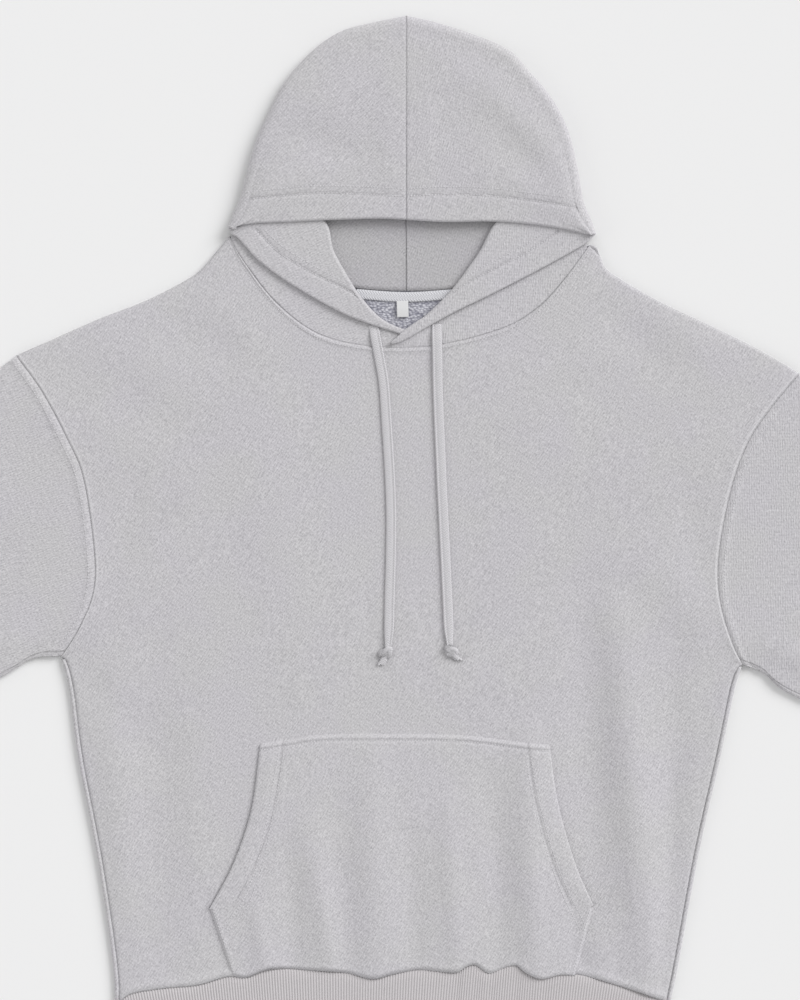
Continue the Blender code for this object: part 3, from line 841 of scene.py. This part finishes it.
# Where the hems are stitched down, in millimetres
bandLines = {
    "hoodLeft": [[(-158, 321.5), (-120, 325), (-82, 328), (-40, 327), (-2, 325)],
                 [(-152, 329), (-120, 332), (-82, 335), (-40, 334), (-2, 332)]],
    "hoodRight": [[(2, 325), (40, 327), (85, 325), (125, 320), (168, 314)],
                  [(2, 332), (40, 334), (85, 332), (125, 327), (160, 323)]],
    "hoodTurnLeft": [[(-142, 294), (-120, 272), (-89, 253), (-56, 237), (-38, 226)],
                     [(-139, 299), (-117, 278), (-86, 259), (-56, 243)]],
    "hoodTurnRight": [[(145, 293), (117, 274), (86, 258), (59, 244), (36, 229)],
                      [(141, 298), (114, 280), (83, 264), (59, 251)]],
    "frontPocket": [[(-137, -199), (-108, -195), (-77, -190), (0, -189.6), (50, -190.6),
                     (81, -193.6), (110, -198), (135, -200)],
               [(-116, -204), (-127, -265), (-138, -315), (-153, -352), (-169, -371)],
               [(-121, -204), (-132, -265), (-143, -313), (-158, -348), (-173, -366)],
               [(113, -204), (120, -243), (134, -297), (149, -337), (165, -369)],
               [(118, -204), (125, -243), (139, -295), (154, -333), (169, -363)],
               [(-182, -352), (-163, -410)], [(174, -350), (158, -412)]],
}


def pressedInto(points, upper, lines, depth):
    # Presses stitched lines into the upper leaf, and says how far each point is from them
    gaps = np.full(points.shape[:2], 1.0)
    x, y = points[:, upper, 0], points[:, upper, 1]
    for line in lines:
        run = smoothCurve(mm(line), np.linspace(0, 1, 30))
        gaps[:, upper] = np.minimum(gaps[:, upper], distanceTo(run, x, y))
    points[..., 2] -= depth * bell(gaps, 0.0016)
    return gaps


# A hood half, from the centre seam to the corner of the mouth: the folded rim, the
# mouth's edge on the upper leaf, and where the back-neck seam is, in millimetres
hoodRows = {
    "Left": [(0, 497, 0, 303, 0), (-34, 490, -17, 304, -18), (-61, 482.5, -34, 304, -34),
             (-86, 466, -50, 303.5, -50), (-112, 438, -68, 303, -70), (-128, 409, -90, 302, -94),
             (-142, 378, -110, 301, -116), (-151, 348, -126, 300.5, -132),
             (-157, 325, -138, 300, -145), (-166, 303, -150, 299, -156),
             (-169, 297, -156, 298.5, -160)],
    "Right": [(0, 497, 0, 303, 0), (25, 491.5, 17, 302, 18), (59, 481, 34, 301, 34),
              (97, 465, 52, 301, 52), (117, 444, 72, 301.5, 74), (138, 419, 92, 301, 96),
              (153, 390, 112, 299.5, 118), (162, 355, 132, 297, 138),
              (168, 322, 148, 294.5, 152), (175, 305, 162, 291.5, 163), (180, 290, 170, 289.5, 167)],
}
turnRows = {
    "Left": [(6, 195, 4, 191, 6), (-1, 199.5, -3, 194, -3), (-10, 203, -12, 197.5, -11),
             (-20, 208, -23, 201, -20), (-31, 217, -38, 206, -36), (-45, 234, -55, 212.5, -60),
             (-58, 255, -74, 222, -84), (-69, 276, -95, 234, -106), (-75, 300, -119, 249, -124),
             (-95, 316, -141, 266, -142), (-142, 303, -158, 285, -156),
             (-154, 302, -164.5, 289.5, -162), (-162, 300, -168.3, 295, -166.5)],
    "Right": [(-14.5, 187.5, -13.5, 185.8, -14), (-8, 193, -7, 187, -9), (-1, 199.5, 1, 190.5, -2),
              (10, 207, 13, 197.5, 8), (21, 215, 26, 205, 18), (42, 236, 48, 217, 40),
              (58, 257, 71, 228, 66), (71, 276, 97, 241, 91), (84, 300, 124, 255, 115),
              (104, 313, 148, 268, 138), (148, 299, 169, 280, 158),
              (162, 296, 174.5, 284.5, 167), (171, 294, 179.3, 289.3, 172)],
}
hoodGrid = {"sections": 90, "upper": 56, "rim": 16, "lower": 30, "curl": 9}
turnGrid = {"sections": 130, "upper": 34, "rim": 14, "lower": 26, "curl": 9}


def neckLine(neck, xs):
    line = joinedCurves([mm(cut["shoulderLeft"]), mm(cut[neck]), mm(cut["shoulderRight"])],
                        acrossBreaks, easedShares(acrossBreaks, (10, 80, 10)))
    return np.interp(xs, line[:, 0], line[:, 1]) - 0.0004


def hoodSections(rows, neck, count, ease=0.5):
    table = smoothCurve(mm(rows), easedShares((0, 1), (count,), ease))
    sewnY = neckLine(neck, table[:, 4])
    runs = np.gradient(table[:, :2], axis=0)
    found = []
    for row, y, run in zip(table, sewnY, runs):
        rim, free, sewn = row[:2], row[2:4], np.array([row[4], y])
        out = np.array([run[1], -run[0]]) / np.linalg.norm(run)
        if out @ (rim - 0.5 * (free + sewn)) < 0:
            out = -out
        if abs(rim[0]) < 0.0006:
            out = np.array([0.0, 1.0])
        found.append((free, rim, sewn, out))
    return found


def rolledSection(section, radii, tops, bottoms, curl, grid):
    # From inside the free edge's turned hem, round that edge, over the upper leaf,
    # round the rim and back along the lower leaf to the sewn edge
    free, rim, sewn, out = section
    wide, inset = radii
    room = np.linalg.norm(free - rim)
    wide, curl = min(wide, 0.45 * room), min(curl, 0.25 * room)
    centre = rim - out * wide
    middle = 0.5 * (tops[1] + bottoms[0])
    half = 0.5 * (tops[1] - bottoms[0])
    inward = (centre - free) / max(np.linalg.norm(centre - free), 1e-6)
    hemCentre = free + inward * curl
    rows = []
    for turn in np.linspace(-0.5 * math.pi, 0.5 * math.pi, grid["curl"])[:-1]:
        place = hemCentre - inward * curl * math.cos(turn)
        rows.append((*place, tops[0] - curl + curl * math.sin(turn)))
    for share in easedShares((0, 1), (grid["upper"],), 0.6)[:-1]:
        place = hemCentre + (centre - hemCentre) * share
        rows.append((*place, tops[0] + (tops[1] - tops[0]) * share))
    for turn in np.linspace(0.5 * math.pi, -0.5 * math.pi, grid["rim"]):
        place = centre + out * (wide - inset) * math.cos(turn)
        rows.append((*place, middle + half * math.sin(turn)))
    for share in easedShares((0, 1), (grid["lower"],), 0.5)[1:]:
        place = centre + (sewn - centre) * share
        rows.append((*place, bottoms[0] + (bottoms[1] - bottoms[0]) * share))
    return rows


hoodCreases = [
    (-150, 330, -60, 350, 16, 1.2),
    (-130, 400, -50, 360, 20, -1.9),
    (-140, 378, -60, 432, 22, 1.8),
    (30, 470, 150, 350, 22, 3.4),
    (70, 418, 130, 345, 18, -2.4),
    (150, 325, 70, 345, 16, 1.2),
    (-20, 440, -12, 330, 12, 0.8),
    (20, 440, 14, 330, 12, 0.9),
]


hoodSizes = {
    "rim": 0.0085,
    "curl": (0.0022, 0.0008),      # of the mouth's edge: outer half, lining
    "dome": 0.0012,
    "bandDepth": 0.0008,
    "centreWidth": 0.0014,
    "centreDepth": 0.0004,
    "leastStep": 0.0001,           # between sections, so that none crosses the centre seam
    "turn": 12,
}
# the centre seam and the band's stitched line: grooves with painted shade in them
hoodLines = [("seamGap", 0.0, 0.0009, 0.0005, 0.14), ("mouthGap", 0.0, 0.0011, 0.0004, 0.10)]


def hoodHalf(side, inset, name, node):
    lining = inset > 0
    top, bottom = hoodTop - inset, inset
    curl = hoodSizes["curl"][lining]
    rows = [rolledSection(section, (hoodSizes["rim"], inset), (top, top), (bottom, bottom), curl,
                          hoodGrid)
            for section in hoodSections(hoodRows[side], "neckBack", hoodGrid["sections"])]
    points = np.array(rows)
    outside = -1 if side == "Left" else 1
    least = hoodSizes["leastStep"] * np.arange(len(points))[:, None]
    fromCentre = np.maximum(outside * (points[..., 0] - points[:1, :, 0]), least)
    points[..., 0] = points[:1, :, 0] + outside * fromCentre
    upper = slice(hoodGrid["curl"] - 1, hoodGrid["curl"] - 1 + hoodGrid["upper"])
    dome = np.sin(math.pi * np.linspace(0, 1, hoodGrid["upper"]))[None] ** 2
    dome = dome * (1.6 - 0.6 * dome)
    creased = creaseHeight(points[:, upper, 0], points[:, upper, 1], hoodCreases)
    points[:, upper, 2] += dome * (hoodSizes["dome"] + creased)
    bandGap = pressedInto(points, upper, bandLines["hood" + side][:1], hoodSizes["bandDepth"])
    facing = np.sign(points[..., 2] - 0.5 * hoodTop)
    points[..., 2] -= facing * hoodSizes["centreDepth"] * bell(fromCentre, hoodSizes["centreWidth"])
    points[..., 2] = np.maximum(points[..., 2], 0)
    # the lining is the same cloth, darkened all over as painted shade for the hood's shadowed inside
    paintedShade = knitFinish["liningPaintedShade"] if lining else 1.0
    surface = knitSurface(name + "Knit", -outside * hoodSizes["turn"], hoodLines, paintedShade)
    piece = clothPiece(name, points, clothSizes["knit"], surface, fromCentre, bandGap,
                       facing=hoodGrid["curl"] + hoodGrid["upper"] // 2)
    settle(piece, "loopback_knit", node)


turnSizes = {
    "lowest": 0.0006,              # above the two layers of the back
    "roll": 0.0014,                # rise of the rolled rim over its two plies
    "edge": 0.0006,
    "sunk": 0.0019,                # of the sewn edge, below the top of the front
    "curl": 0.0017,
    "bandDepth": 0.0007,
    "crossing": (-0.002, 0.018, 0.003),      # middle, half width and fade of the crossed ends
    "under": (0.0020, 0.0022),     # the left end's edge and rim, pressed down
    "over": (0.0004, 0.0009, 0.0030),        # the right end's edge, rim and underside, raised
    "turn": 30,
    # the band's stitched line: a groove with painted shade in it
    "bandLine": ("mouthGap", 0.0, 0.0012, 0.0004, 0.12),
}


def hoodTurn(side):
    # The left end slips under the right one at the centre front
    double = clothSizes["double"]
    lowest = 2 * clothSizes["knit"] + turnSizes["lowest"]
    rollTop = lowest + 2 * double + turnSizes["roll"]
    edgeTop = frontTop - double + 2 * double + turnSizes["edge"]
    sewnTop = frontTop - turnSizes["sunk"]
    radius = 0.5 * (rollTop - lowest)
    middle, reach, fade = turnSizes["crossing"]
    rows = []
    for section in hoodSections(turnRows[side], "neckFront", turnGrid["sections"], 0.2):
        near = 1 / (1 + math.exp((abs(section[1][0] - middle) - reach) / fade))
        if side == "Left":
            edgeDrop, rimDrop = turnSizes["under"]
            tops, bottoms = (edgeTop - edgeDrop * near, rollTop - rimDrop * near), (lowest, sewnTop)
        else:
            edgeRise, rimRise, underRise = turnSizes["over"]
            tops = (edgeTop + edgeRise * near, rollTop + rimRise * near)
            bottoms = (lowest + underRise * near, sewnTop)
        rows.append(rolledSection(section, (radius, 0.0), tops, bottoms, turnSizes["curl"], turnGrid))
    points = np.array(rows)
    upper = slice(turnGrid["curl"] - 1, turnGrid["curl"] - 1 + turnGrid["upper"])
    bandGap = pressedInto(points, upper, bandLines["hoodTurn" + side][:1], turnSizes["bandDepth"])
    steps = np.linalg.norm(np.diff(points[:, ::-1], axis=1), axis=2)
    fromSeam = np.pad(np.cumsum(steps, axis=1), ((0, 0), (1, 0)))[:, ::-1]
    turn = turnSizes["turn"] if side == "Left" else -turnSizes["turn"]
    surface = knitSurface("turn" + side + "Knit", turn, [seamGroove, turnSizes["bandLine"]])
    piece = clothPiece("hoodTurn" + side, points, clothSizes["turn"], surface, fromSeam, bandGap,
                       facing=turnGrid["curl"] + turnGrid["upper"] // 2)
    settle(piece, "loopback_knit", "hood_turn_" + side.lower())


for side in ("Left", "Right"):
    low = side.lower()
    hoodHalf(side, 0.0, "hood" + side, "hood_" + low)
    hoodHalf(side, clothSizes["knit"] + clothSizes["layerGap"], "hoodLining" + side,
             "hood_lining_" + low)
hoodTurn("Left")
hoodTurn("Right")
print("hoodie: hood made")

tapeCut = {
    "top": [(-47, 238.4), (0, 235.4), (47, 238.4)],
    "bottom": [(-48, 229), (0, 226), (48, 229)],
    "columns": 91,
    "rows": 13,
    "height": 0.0034,
    "edgeDrop": 0.0006,
    "edgeShare": 0.12,
}
labelCut = {
    "corners": ((-8.5, 211.5), (2.5, 227.0)),
    "columns": 19,
    "rows": 25,
    "height": 0.0036,
    "bow": 0.0005,
    "tilt": 0.0003,
    "lean": 0.0005,
}


def neckTape():
    across, up = np.linspace(0, 1, tapeCut["columns"]), np.linspace(0, 1, tapeCut["rows"])
    top = smoothCurve(mm(tapeCut["top"]), across)
    bottom = smoothCurve(mm(tapeCut["bottom"]), across)
    plan = bottom[None] + (top - bottom)[None] * up[:, None, None]
    edge = np.minimum(up, 1 - up)[:, None]
    height = np.full(plan.shape[:2], tapeCut["height"])
    height -= tapeCut["edgeDrop"] * bell(edge, tapeCut["edgeShare"])
    points = np.dstack([plan, height])
    piece = clothPiece("neckTape", points, clothSizes["tape"], tapeSurface("herringbone"))
    settle(piece, "neck_trim", "neck_tape")


def blankLabel():
    (x0, y0), (x1, y1) = mm(labelCut["corners"])
    u, v = np.meshgrid(np.linspace(0, 1, labelCut["columns"]), np.linspace(0, 1, labelCut["rows"]))
    height = labelCut["height"] + labelCut["bow"] * np.sin(math.pi * v) + labelCut["tilt"] * u
    points = np.dstack([x0 + (x1 - x0) * u - labelCut["lean"] * v, y0 + (y1 - y0) * v, height])
    piece = clothPiece("blankLabel", points, clothSizes["label"], labelSurface)
    settle(piece, "neck_trim", "neck_label")


neckTape()
blankLabel()

# Each cord's run down the chest, x and y in millimetres and height above the cloth
cordRuns = {
    "Left": [(-31, 204, -1.6), (-30, 199, -0.8), (-28.5, 190, 1.2), (-25, 172, 1.25),
             (-21, 148, 1.25), (-19, 120, 1.25), (-17, 90, 1.25), (-15, 55, 1.25),
             (-14, 20, 1.25), (-14.5, -20, 1.25), (-15.5, -55, 1.25), (-16, -82, 1.5),
             (-17, -101, 2.0)],
    "Right": [(29, 205, -1.6), (29, 200, -0.8), (29.3, 190, 1.2), (29.7, 170, 1.8),
              (30, 148, 1.25), (31, 118, 1.25), (32.5, 85, 1.25), (34, 50, 1.25),
              (36, 10, 1.25), (38, -30, 1.25), (39.5, -62, 1.25), (40.5, -84, 1.5),
              (41.5, -99, 2.0)],
}
cordSizes = {
    "width": 0.0094,
    "depth": 0.0025,
    "around": 32,
    "rows": 170,
    "pathPoints": 60,
    "endTaper": (0.35, 6.0),                       # narrowing, and the rows it takes
    "welt": ((0.5, 0.80, 0.22), (-0.45, 0.38, 0.16)),      # height, place and width across
}


def alongRun(run, closed=False):
    # Unit vectors beside and over each point of a run
    along = np.gradient(run, axis=0)
    if closed:
        along[0] = along[-1] = run[1] - run[-2]
    along /= np.linalg.norm(along, axis=1)[:, None]
    beside = np.cross(along, (0, 0, 1))
    beside /= np.linalg.norm(beside, axis=1)[:, None]
    return beside, np.cross(beside, along)


def cord(side, sign):
    # A flat knitted cord: one edge carries a raised welt
    run = smoothCurve(mm(cordRuns[side]), np.linspace(0, 1, cordSizes["rows"]))
    run[:, 2] += upperHeight(run[:, 0], run[:, 1])
    half, depth = 0.5 * cordSizes["width"], 0.5 * cordSizes["depth"]
    narrowing, taperRows = cordSizes["endTaper"]
    rows = []
    for i, (place, right, up) in enumerate(zip(run, *alongRun(run))):
        taper = 1.0 - narrowing * bell(len(run) - 1 - i, taperRows)
        row = []
        for k in range(cordSizes["around"] + 1):
            turn = 2 * math.pi * k / cordSizes["around"]
            out, rise = math.cos(turn), math.sin(turn)
            welt = 1.0 + sum(height * bell(sign * out - middle, width)
                             for height, middle, width in cordSizes["welt"])
            row.append(place + right * half * taper * math.copysign(abs(out) ** 0.75, out)
                       + up * depth * welt * math.copysign(abs(rise) ** 0.8, rise))
        rows.append(row)
    piece = clothPiece("cord" + side, np.array(rows), 0, cordSurface,
                       facing=cordSizes["around"] // 4)
    settle(piece, "drawcord", "drawcord_" + side.lower())
    length = float(np.linalg.norm(np.diff(run, axis=0), axis=1).sum())
    return piece, run, length


knotSizes = {
    "places": {"Left": (-18.8, -106.5, 28), "Right": (42.5, -105.0, -24)},      # x, y, lean
    "height": 0.0022,
    "lobes": (0.0018, 0.0012, 0.0006),
    "cord": (0.0024, 0.0017),
    "rows": 97,
    "around": 13,
}
tailSizes = {
    "end": {"Left": (-5.0, 11.5), "Right": (8.0, 8.5)},      # sideways and down from the knot
    "heights": (2.4, 1.8, 1.3),
    "rows": 24,
    "around": 33,
    "fray": 0.10,
}


def knot(side):
    # A small flattened overhand knot: one lobed loop of cord, crossing itself
    x, y, lean = knotSizes["places"][side]
    x, y, lean = 0.001 * x, 0.001 * y, math.radians(lean)
    base = upperHeight(np.array([x]), np.array([y]))[0] + knotSizes["height"]
    wide, tall, thick = knotSizes["lobes"]
    rows = []
    for turn in np.linspace(0, 2 * math.pi, knotSizes["rows"]):
        px = wide * (math.sin(turn) + 2 * math.sin(2 * turn))
        py = tall * (math.cos(turn) - 2 * math.cos(2 * turn))
        rows.append((x + px * math.cos(lean) - py * math.sin(lean),
                     y + px * math.sin(lean) + py * math.cos(lean),
                     base - thick * math.sin(3 * turn)))
    run = np.array(rows)
    broad, flat = knotSizes["cord"]
    around = np.linspace(0, 2 * math.pi, knotSizes["around"])
    points = [[place + broad * right * math.cos(t) + flat * up * math.sin(t) for t in around]
              for place, right, up in zip(run, *alongRun(run, closed=True))]
    piece = clothPiece("knot" + side, np.array(points), 0, cordSurface, facing=3)
    settle(piece, "drawcord", "cord_knot_" + side.lower())
    return piece


def cordTail(side):
    # The loose end past the knot, frayed wider at its tip
    x, y, _ = knotSizes["places"][side]
    lean, drop = tailSizes["end"][side]
    first, second, last = tailSizes["heights"]
    bends = [(x, y - 1, first), (x + 0.5 * lean, y - 0.6 * drop, second), (x + lean, y - drop, last)]
    run = smoothCurve(mm(bends), np.linspace(0, 1, tailSizes["rows"]))
    run[:, 2] += upperHeight(run[:, 0], run[:, 1])
    points = []
    for share, place in zip(np.linspace(0, 1, len(run)), run):
        row = []
        for t in np.linspace(0, 2 * math.pi, tailSizes["around"]):
            fringe = 1 + tailSizes["fray"] * math.sin(9 * t) * share
            row.append(place + np.array([(0.0024 + 0.0015 * share) * math.cos(t) * fringe,
                                         -0.0007 * share * math.sin(7 * t) * share,
                                         (0.0015 - 0.0004 * share) * math.sin(t) * fringe]))
        points.append(row)
    piece = clothPiece("cordTail" + side, np.array(points), 0, cordSurface, facing=8)
    settle(piece, "drawcord")
    return piece


for side, sign in (("Left", -1), ("Right", 1)):
    line, cordRun, cordLength = cord(side, sign)
    ends = [knot(side), cordTail(side)]
    print("hoodie: cord", side, round(cordLength, 4))

stitchSizes = {
    "half": (0.0010, 0.00042, 0.00036),      # half the length, width and height
    "pitch": 0.0028,
    "lift": 0.0001,
    "neckDrop": 0.0034,
    "armholeShift": 0.0062,
    "castFrom": 0.1,
}


def shifted(line, distance):
    # The same run of points, moved sideways to its left
    along = np.gradient(line, axis=0)
    along /= np.linalg.norm(along, axis=1)[:, None]
    return line + distance * np.stack([-along[:, 1], along[:, 0]], axis=1)


def even(points):
    return smoothCurve(points, np.linspace(0, 1, 120))


def sewRows(name, hosts, lines):
    # Small stitches laid along lines, each resting on the cloth below it
    depsgraph = bpy.context.evaluated_depsgraph_get()
    trees = [BVHTree.FromObject(bpy.data.objects[host], depsgraph) for host in hosts]
    bm = bmesh.new()
    for line in lines:
        length = np.linalg.norm(np.diff(line, axis=0), axis=1).sum()
        places = smoothCurve(line, np.linspace(0, 1, max(3, round(length / stitchSizes["pitch"]))))
        along = np.gradient(places, axis=0)
        for place, run in zip(places, along):
            above = Vector((*place, stitchSizes["castFrom"]))
            hits = [tree.ray_cast(above, Vector((0, 0, -1)))[:2] for tree in trees]
            hits = [hit for hit in hits if hit[0] is not None]
            if not hits:
                continue
            spot, normal = max(hits, key=lambda hit: hit[0].z)
            ahead = Vector((*run, 0)).normalized()
            beside = normal.cross(ahead).normalized()
            ahead = beside.cross(normal)
            turn = Matrix((ahead, beside, normal)).transposed().to_4x4()
            size = Matrix.Diagonal((*stitchSizes["half"], 1))
            matrix = Matrix.Translation(spot + normal * stitchSizes["lift"]) @ turn @ size
            bmesh.ops.create_uvsphere(bm, u_segments=6, v_segments=3, radius=1, matrix=matrix)
    for face in bm.faces:
        face.smooth = True
    mesh = bpy.data.meshes.new(name)
    bm.to_mesh(mesh)
    bm.free()
    mesh.materials.append(threadSurface)
    piece = bpy.data.objects.new(name, mesh)
    bpy.context.scene.collection.objects.link(piece)
    settle(piece, "loopback_knit")
    print("hoodie:", name, len(mesh.polygons), "faces")


for host, lines in bandLines.items():
    sewRows(host + "Stitches", [host], [even(mm(line)) for line in lines])
neckRow = shifted(even(mm(cut["neckFront"])), -stitchSizes["neckDrop"])
sewRows("neckStitches", ["bodyFront"], [neckRow])
for side, sign in (("Left", 1), ("Right", -1)):
    armRow = shifted(even(mm(cut["armhole" + side])), sign * stitchSizes["armholeShift"])[3:-3]
    sewRows("armholeStitches" + side, ["sleeve" + side], [armRow])
print("hoodie: stitches sewn")

# Floor, light and camera
stageSizes = {
    "floor": 40.0,
    "floorTone": (0.822, 0.822, 0.824),
    "worldStrength": 0.596,
    "camera": (-0.0057, 0.038, 2.4),
    "lens": 90.9,
    "sensor": 36,
}


def softLight(name, towards, softness, strength):
    # An even, far-off soft light: the direction it comes from, its width in degrees, its strength
    data = bpy.data.lights.new(name, "SUN")
    data.energy = strength
    data.angle = math.radians(softness)
    light = bpy.data.objects.new(name, data)
    bpy.context.scene.collection.objects.link(light)
    light.rotation_euler = Vector(towards).to_track_quat("Z", "Y").to_euler()


bm = bmesh.new()
bmesh.ops.create_grid(bm, x_segments=1, y_segments=1, size=0.5 * stageSizes["floor"])
floorMesh = bpy.data.meshes.new("floor")
bm.to_mesh(floorMesh)
bm.free()
floor = bpy.data.objects.new("floor", floorMesh)
bpy.context.scene.collection.objects.link(floor)
paper, _, paperShader = shaderNodes("paper")
paperShader.inputs["Base Color"].default_value = (*stageSizes["floorTone"], 1)
paperShader.inputs["Roughness"].default_value = 0.9
paperShader.inputs["Specular IOR Level"].default_value = 0.1
floorMesh.materials.append(paper)

softLight("softRight", (0.68, 0.52, 0.50), 34, 2.40)
softLight("lowLeft", (-0.90, -0.15, 0.30), 50, 0.55)

world = bpy.data.worlds.new("studio")
world.use_nodes = True
world.node_tree.nodes["Background"].inputs[0].default_value = (1, 1, 1, 1)
world.node_tree.nodes["Background"].inputs[1].default_value = stageSizes["worldStrength"]
bpy.context.scene.world = world

lens = bpy.data.cameras.new("overhead")
lens.sensor_width = stageSizes["sensor"]
lens.lens = stageSizes["lens"]
lens.clip_start = 0.05
lens.clip_end = 20
camera = bpy.data.objects.new("overhead", lens)
bpy.context.scene.collection.objects.link(camera)
camera.location = stageSizes["camera"]
bpy.context.scene.camera = camera
bpy.context.scene.view_settings.view_transform = "Standard"

print("hoodie: stage set")
